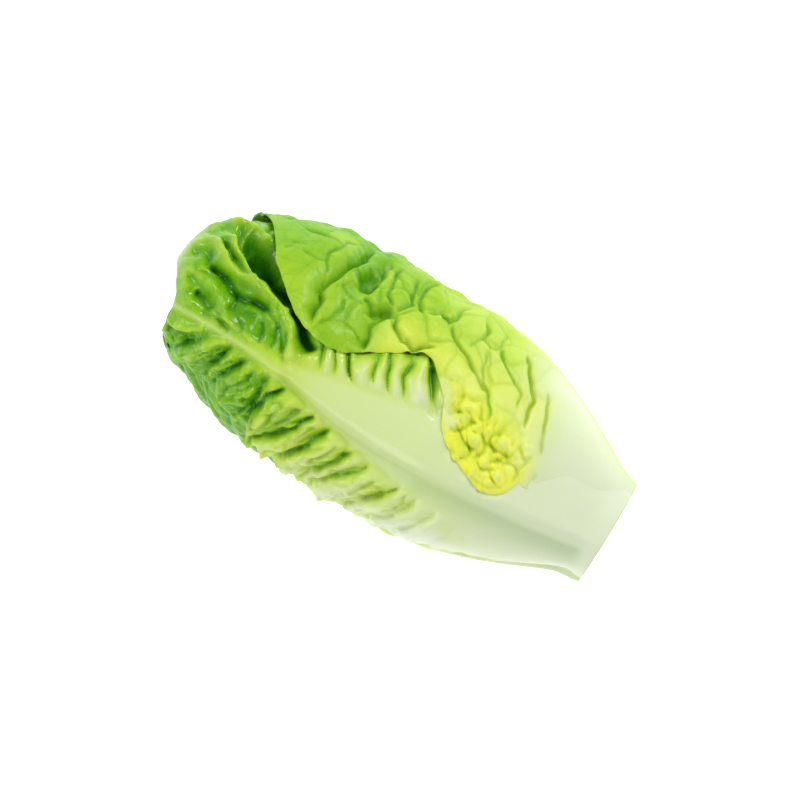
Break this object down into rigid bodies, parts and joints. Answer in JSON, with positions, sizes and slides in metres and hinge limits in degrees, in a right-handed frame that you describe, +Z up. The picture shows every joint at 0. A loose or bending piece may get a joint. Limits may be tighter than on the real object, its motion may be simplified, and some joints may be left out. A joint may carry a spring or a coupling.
{
  "type": "head of lettuce",
  "caption": "Small cos-type lettuce head, cut at the stem and lying on its side: nested cupped leaves with broad pale midribs round a short stem cone.",
  "frame": {"origin": "on the table, under the middle of the head's box", "axes": "+X along the head from the cut stem to the leaf tips, +Z up from the table"},
  "size_m": [0.16, 0.079, 0.071],
  "materials": {
    "outer_leaf": "fresh leaf, satin with glossy highlights, green at the tip to near white at the base",
    "middle_leaf": "fresh leaf, satin, paler green",
    "heart_leaf": "fresh leaf, satin, yellow-green",
    "stem": "freshly cut, moist, near white"
  },
  "bodies": {
    "root": {"outer_leaf_01": "outer_leaf", "outer_leaf_02": "outer_leaf", "outer_leaf_03": "outer_leaf", "outer_leaf_04": "outer_leaf", "outer_leaf_05": "outer_leaf", "outer_leaf_06": "outer_leaf", "middle_leaf_07": "middle_leaf", "middle_leaf_08": "middle_leaf", "middle_leaf_09": "middle_leaf", "middle_leaf_10": "middle_leaf", "middle_leaf_11": "middle_leaf", "middle_leaf_12": "middle_leaf", "heart_leaf_13": "heart_leaf", "heart_leaf_14": "heart_leaf", "heart_leaf_15": "heart_leaf", "heart_leaf_16": "heart_leaf", "heart_leaf_17": "heart_leaf", "heart_leaf_18": "heart_leaf", "stem": "stem"}
  },
  "joints": []
}
